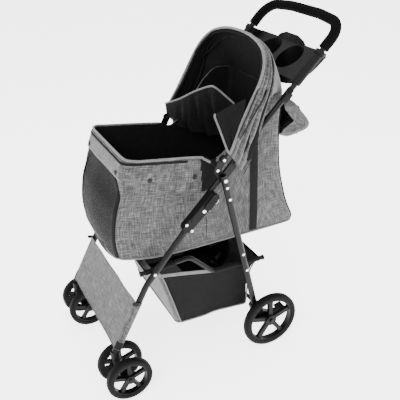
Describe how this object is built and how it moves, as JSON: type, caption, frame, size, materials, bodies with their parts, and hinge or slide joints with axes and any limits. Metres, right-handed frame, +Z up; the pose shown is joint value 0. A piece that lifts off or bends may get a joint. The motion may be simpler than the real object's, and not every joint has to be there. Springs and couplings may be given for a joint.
{
  "type": "pet stroller",
  "caption": "Folding four-wheel pet stroller with a zipped fabric cabin, canopy, mesh front window, cup tray and lower basket.",
  "frame": {"origin": "on the floor under the middle of the overall box", "axes": "X across the width, -Y to the front, +Z up; the plane x = 0 is the plane of symmetry"},
  "size_m": [0.486, 0.7894, 0.9915],
  "materials": {
    "black_steel": "semi-gloss black powder coat on steel tube",
    "grip_foam": "matt closed-cell foam",
    "black_plastic": "fine-textured moulded plastic",
    "rim_plastic": "satin moulded plastic",
    "tyre_black": "matt solid rubber",
    "rivet_steel": "bright rivet steel",
    "snap_grey": "satin snap button",
    "cloth_grey": "grey melange woven polyester",
    "mesh_black": "open black mesh",
    "lining_black": "black woven lining",
    "webbing_black": "flat woven webbing"
  },
  "bodies": {
    "handle_frame": {"handle_tube": "black_steel", "handle_foam": "grip_foam", "cup_tray": "black_plastic", "hinge_plate_left": "black_steel", "hinge_plate_right": "black_steel", "hinge_rivets": "rivet_steel", "cabin_shell": "cloth_grey", "front_window": "mesh_black", "floor_pad": "lining_black", "rim_wire": "black_steel", "snap_buttons": "snap_grey", "side_straps": "webbing_black", "rear_pouch": "cloth_grey", "hanging_straps": "webbing_black", "mesh_cover": "mesh_black"},
    "front_frame": {"front_leg_left": "black_steel", "front_leg_right": "black_steel", "lock_housing_left": "black_plastic", "lock_housing_right": "black_plastic", "front_rivets": "rivet_steel", "leg_sockets": "black_plastic", "front_panel": "cloth_grey", "panel_tabs": "black_plastic"},
    "rear_frame": {"rear_leg_left": "black_steel", "rear_leg_right": "black_steel", "rear_rivets": "rivet_steel", "rear_foot_left": "black_plastic", "rear_foot_right": "black_plastic", "rear_axle": "black_steel"},
    "basket_frame": {"basket_tube_left": "black_steel", "basket_tube_right": "black_steel", "tube_plugs": "black_plastic", "basket_cross_wires": "black_steel", "basket_bag": "mesh_black", "basket_board": "black_plastic"},
    "canopy_front": {"canopy_front_hoop": "black_steel", "canopy_shell": "cloth_grey"},
    "canopy_rear": {"canopy_rear_hoop": "black_steel"},
    "caster_left": {"caster_fork_left": "black_plastic"},
    "caster_lock_left": {"caster_lever_left": "black_plastic"},
    "front_wheel_inner_left": {"front_rim_inner_left": "rim_plastic", "front_tyre_inner_left": "tyre_black"},
    "front_wheel_outer_left": {"front_rim_outer_left": "rim_plastic", "front_tyre_outer_left": "tyre_black"},
    "rear_wheel_left": {"rear_rim_left": "rim_plastic", "rear_tyre_left": "tyre_black"},
    "brake_left": {"brake_pedal_left": "black_plastic"},
    "fold_lock_left": {"lock_slide_left": "black_plastic"},
    "caster_right": {"caster_fork_right": "black_plastic"},
    "caster_lock_right": {"caster_lever_right": "black_plastic"},
    "front_wheel_inner_right": {"front_rim_inner_right": "rim_plastic", "front_tyre_inner_right": "tyre_black"},
    "front_wheel_outer_right": {"front_rim_outer_right": "rim_plastic", "front_tyre_outer_right": "tyre_black"},
    "rear_wheel_right": {"rear_rim_right": "rim_plastic", "rear_tyre_right": "tyre_black"},
    "brake_right": {"brake_pedal_right": "black_plastic"},
    "fold_lock_right": {"lock_slide_right": "black_plastic"}
  },
  "joints": [
    {"name": "frame_fold", "type": "hinge", "parent": "handle_frame", "child": "front_frame", "pos_m": [0, -0.06475, 0.532], "axis": [1, 0, 0], "range_deg": [0, 136], "deforming": ["cabin_shell", "front_window", "floor_pad", "rim_wire", "snap_buttons", "side_straps", "rear_pouch", "hanging_straps", "mesh_cover"]},
    {"name": "rear_leg_fold", "type": "hinge", "parent": "handle_frame", "child": "rear_frame", "pos_m": [0, 0.00525, 0.602], "axis": [1, 0, 0], "range_deg": [0, 103.36]},
    {"name": "basket_fold", "type": "hinge", "parent": "front_frame", "child": "basket_frame", "pos_m": [0, -0.21475, 0.37], "axis": [1, 0, 0], "range_deg": [-75.34, 0], "deforming": ["basket_bag", "basket_board"]},
    {"name": "canopy_open", "type": "hinge", "parent": "handle_frame", "child": "canopy_front", "pos_m": [0, 0.00625, 0.66], "axis": [1, 0, 0], "range_deg": [0, 100], "deforming": ["canopy_shell"]},
    {"name": "canopy_rear_hoop_swing", "type": "hinge", "parent": "handle_frame", "child": "canopy_rear", "pos_m": [0, 0.00625, 0.66], "axis": [1, 0, 0], "range_deg": [0, 50]},
    {"name": "caster_swivel_left", "type": "hinge", "parent": "front_frame", "child": "caster_left", "pos_m": [-0.188, -0.34675, 0.122], "axis": [0, 0, 1], "continuous": true},
    {"name": "caster_lever_press_left", "type": "hinge", "parent": "caster_left", "child": "caster_lock_left", "pos_m": [-0.188, -0.36125, 0.096], "axis": [1, 0, 0], "range_deg": [-20, 0]},
    {"name": "front_wheel_inner_left_spin", "type": "hinge", "parent": "caster_left", "child": "front_wheel_inner_left", "pos_m": [-0.147, -0.32475, 0.068], "axis": [1, 0, 0], "continuous": true},
    {"name": "front_wheel_outer_left_spin", "type": "hinge", "parent": "caster_left", "child": "front_wheel_outer_left", "pos_m": [-0.229, -0.32475, 0.068], "axis": [1, 0, 0], "continuous": true},
    {"name": "rear_wheel_left_spin", "type": "hinge", "parent": "rear_frame", "child": "rear_wheel_left", "pos_m": [-0.2176, 0.15025, 0.092], "axis": [1, 0, 0], "continuous": true},
    {"name": "brake_press_left", "type": "hinge", "parent": "rear_frame", "child": "brake_left", "pos_m": [-0.19, 0.17525, 0.1], "axis": [1, 0, 0], "range_deg": [-25, 0]},
    {"name": "fold_lock_slide_left", "type": "slide", "parent": "front_frame", "child": "fold_lock_left", "axis": [0, 0.7071, 0.7071], "range_m": [0, 0.012]},
    {"name": "caster_swivel_right", "type": "hinge", "parent": "front_frame", "child": "caster_right", "pos_m": [0.188, -0.34675, 0.122], "axis": [0, 0, 1], "continuous": true},
    {"name": "caster_lever_press_right", "type": "hinge", "parent": "caster_right", "child": "caster_lock_right", "pos_m": [0.188, -0.36125, 0.096], "axis": [1, 0, 0], "range_deg": [-20, 0]},
    {"name": "front_wheel_inner_right_spin", "type": "hinge", "parent": "caster_right", "child": "front_wheel_inner_right", "pos_m": [0.147, -0.32475, 0.068], "axis": [1, 0, 0], "continuous": true},
    {"name": "front_wheel_outer_right_spin", "type": "hinge", "parent": "caster_right", "child": "front_wheel_outer_right", "pos_m": [0.229, -0.32475, 0.068], "axis": [1, 0, 0], "continuous": true},
    {"name": "rear_wheel_right_spin", "type": "hinge", "parent": "rear_frame", "child": "rear_wheel_right", "pos_m": [0.2176, 0.15025, 0.092], "axis": [1, 0, 0], "continuous": true},
    {"name": "brake_press_right", "type": "hinge", "parent": "rear_frame", "child": "brake_right", "pos_m": [0.19, 0.17525, 0.1], "axis": [1, 0, 0], "range_deg": [-25, 0]},
    {"name": "fold_lock_slide_right", "type": "slide", "parent": "front_frame", "child": "fold_lock_right", "axis": [0, 0.7071, 0.7071], "range_m": [0, 0.012]}
  ],
  "couplings": [
    {"joint": "rear_leg_fold", "follows": "frame_fold", "ratio": 0.76},
    {"joint": "basket_fold", "follows": "frame_fold", "ratio": -0.554},
    {"joint": "canopy_rear_hoop_swing", "follows": "canopy_open", "ratio": 0.5}
  ]
}
